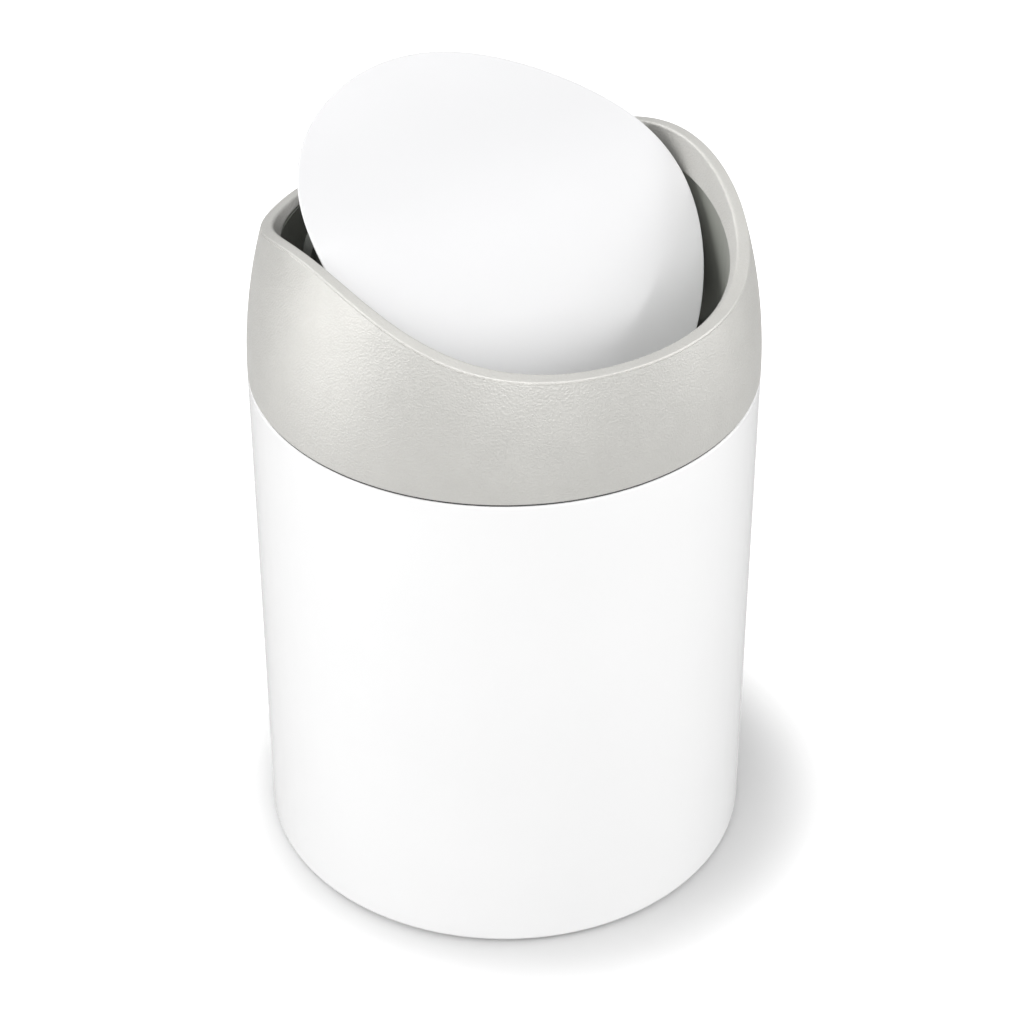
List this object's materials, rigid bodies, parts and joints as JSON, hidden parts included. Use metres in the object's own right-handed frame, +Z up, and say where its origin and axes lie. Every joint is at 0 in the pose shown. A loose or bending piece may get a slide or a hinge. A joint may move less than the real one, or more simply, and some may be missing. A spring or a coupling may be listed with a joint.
{
  "type": "countertop trash can with swing lid",
  "caption": "Small round steel trash can for a countertop, with a lift-off saddle-rimmed collar and a thin curved lid that swings both ways and levels itself.",
  "frame": {"origin": "middle of the base, on the face that the can stands on", "axes": "+X along the lid's swing axis, -Y towards the front, where the lid's edge dips, +Z up"},
  "size_m": [0.126, 0.126, 0.199],
  "materials": {
    "can_paint": "glossy white paint on steel sheet",
    "lid_paint": "glossy white paint on steel sheet",
    "floor_steel": "zinc-coated steel sheet",
    "collar_plastic": "satin moulding with a fine leather grain",
    "liner_plastic": "satin moulding",
    "frame_plastic": "satin moulding",
    "base_plastic": "matt moulding",
    "grip_rubber": "matt rubber",
    "gasket_rubber": "matt rubber",
    "bush_nylon": "natural nylon",
    "pin_steel": "turned steel",
    "weight_steel": "plain sheared steel",
    "fastener_steel": "zinc-plated steel"
  },
  "bodies": {
    "can": {"body_shell": "can_paint", "body_floor": "floor_steel", "base_ring": "base_plastic", "non_slip_ring": "grip_rubber"},
    "collar": {"collar": "collar_plastic", "collar_liner": "liner_plastic", "seat_gasket": "gasket_rubber", "collar_screws": "fastener_steel", "pivot_bush_left": "bush_nylon", "pivot_bush_right": "bush_nylon"},
    "lid": {"lid_panel": "lid_paint", "lid_frame": "frame_plastic", "lid_nuts": "fastener_steel", "pivot_pin_left": "pin_steel", "pivot_pin_right": "pin_steel", "pin_clip_left": "fastener_steel", "pin_clip_right": "fastener_steel", "weight_left": "weight_steel", "weight_right": "weight_steel", "weight_cap_left": "frame_plastic", "weight_cap_right": "frame_plastic", "cap_screws": "fastener_steel"}
  },
  "joints": [
    {"name": "collar_lift", "type": "slide", "parent": "can", "child": "collar", "axis": [0, 0, 1], "range_m": [0, 0.06]},
    {"name": "lid_swing", "type": "hinge", "parent": "collar", "child": "lid", "pos_m": [0, 0, 0.1719], "axis": [1, 0, 0], "range_deg": [-114, 46]}
  ]
}
